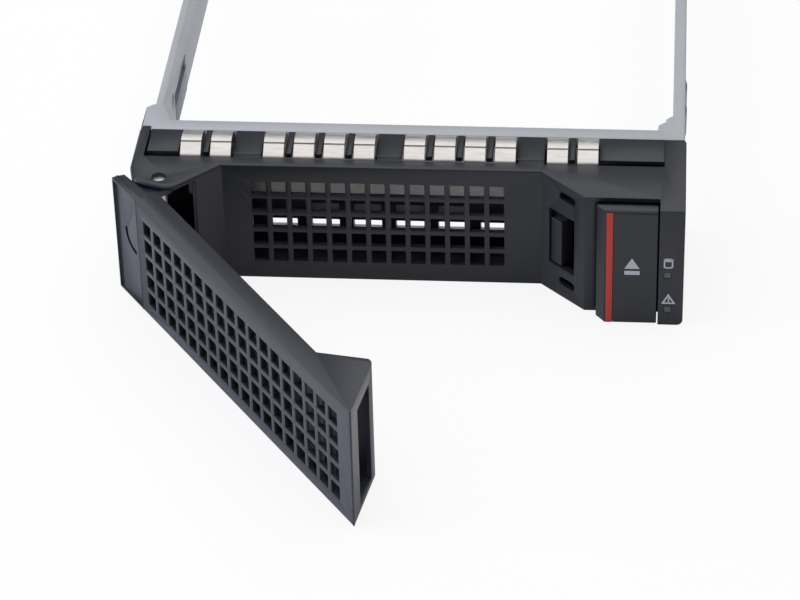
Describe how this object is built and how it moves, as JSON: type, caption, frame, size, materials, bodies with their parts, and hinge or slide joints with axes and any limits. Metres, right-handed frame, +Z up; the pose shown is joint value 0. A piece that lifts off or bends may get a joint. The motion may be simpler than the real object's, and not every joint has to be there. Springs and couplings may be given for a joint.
{
  "type": "hard drive cage",
  "caption": "Hot-swap tray for a 3.5-inch hard drive: open U-shaped frame, vented black front with a swing-out perforated handle, push-button latch and light guides.",
  "frame": {"origin": "middle of the flat underside of the crossbar that joins the two arms", "axes": "+X right seen from the front, +Y from the front towards the rear of the tray, +Z up"},
  "size_m": [0.1105, 0.2417, 0.0284],
  "materials": {
    "cast_grey": "satin light-grey coated casting",
    "black_plastic": "fine matte moulded plastic",
    "dark_plastic": "fine matte moulded plastic, slightly bluish",
    "slate_plastic": "smooth dark slate plastic",
    "spring_steel": "bright rolled spring steel",
    "pin_steel": "plain turned steel",
    "red_plastic": "matte dark red",
    "clear_plastic": "clear moulded light guide"
  },
  "bodies": {
    "tray": {"tray_frame": "cast_grey", "front_bezel": "black_plastic", "rear_comb": "black_plastic", "contact_fingers": "spring_steel", "handle_pin": "pin_steel", "handle_spring": "spring_steel", "button_spring": "spring_steel", "latch_pin": "pin_steel", "latch_spring": "spring_steel", "activity_light_guide": "clear_plastic", "fault_light_guide": "clear_plastic", "left_side_pad": "slate_plastic", "right_side_pad": "slate_plastic", "bezel_screws": "pin_steel"},
    "swing_handle": {"handle": "dark_plastic"},
    "button": {"release_button": "black_plastic", "button_stripe": "red_plastic"},
    "latch": {"latch_lever": "black_plastic"}
  },
  "joints": [
    {"name": "handle_swing", "type": "hinge", "parent": "tray", "child": "swing_handle", "pos_m": [-0.04785, -0.0193, 0], "axis": [0, 0, 1], "range_deg": [0, 54.5], "stiffness_Nm_per_rad": 0.02, "springref_deg": -34.38},
    {"name": "button_press", "type": "slide", "parent": "tray", "child": "button", "axis": [0, 1, 0], "range_m": [0, 0.0016], "stiffness_N_per_m": 400, "springref_m": -0.001, "deforming": ["button_spring"]},
    {"name": "latch_turn", "type": "hinge", "parent": "tray", "child": "latch", "pos_m": [0.029, -0.0088, 0], "axis": [0, 0, 1], "range_deg": [0, 12]}
  ],
  "couplings": [
    {"joint": "latch_turn", "follows": "button_press", "rad_per_m": 111}
  ]
}
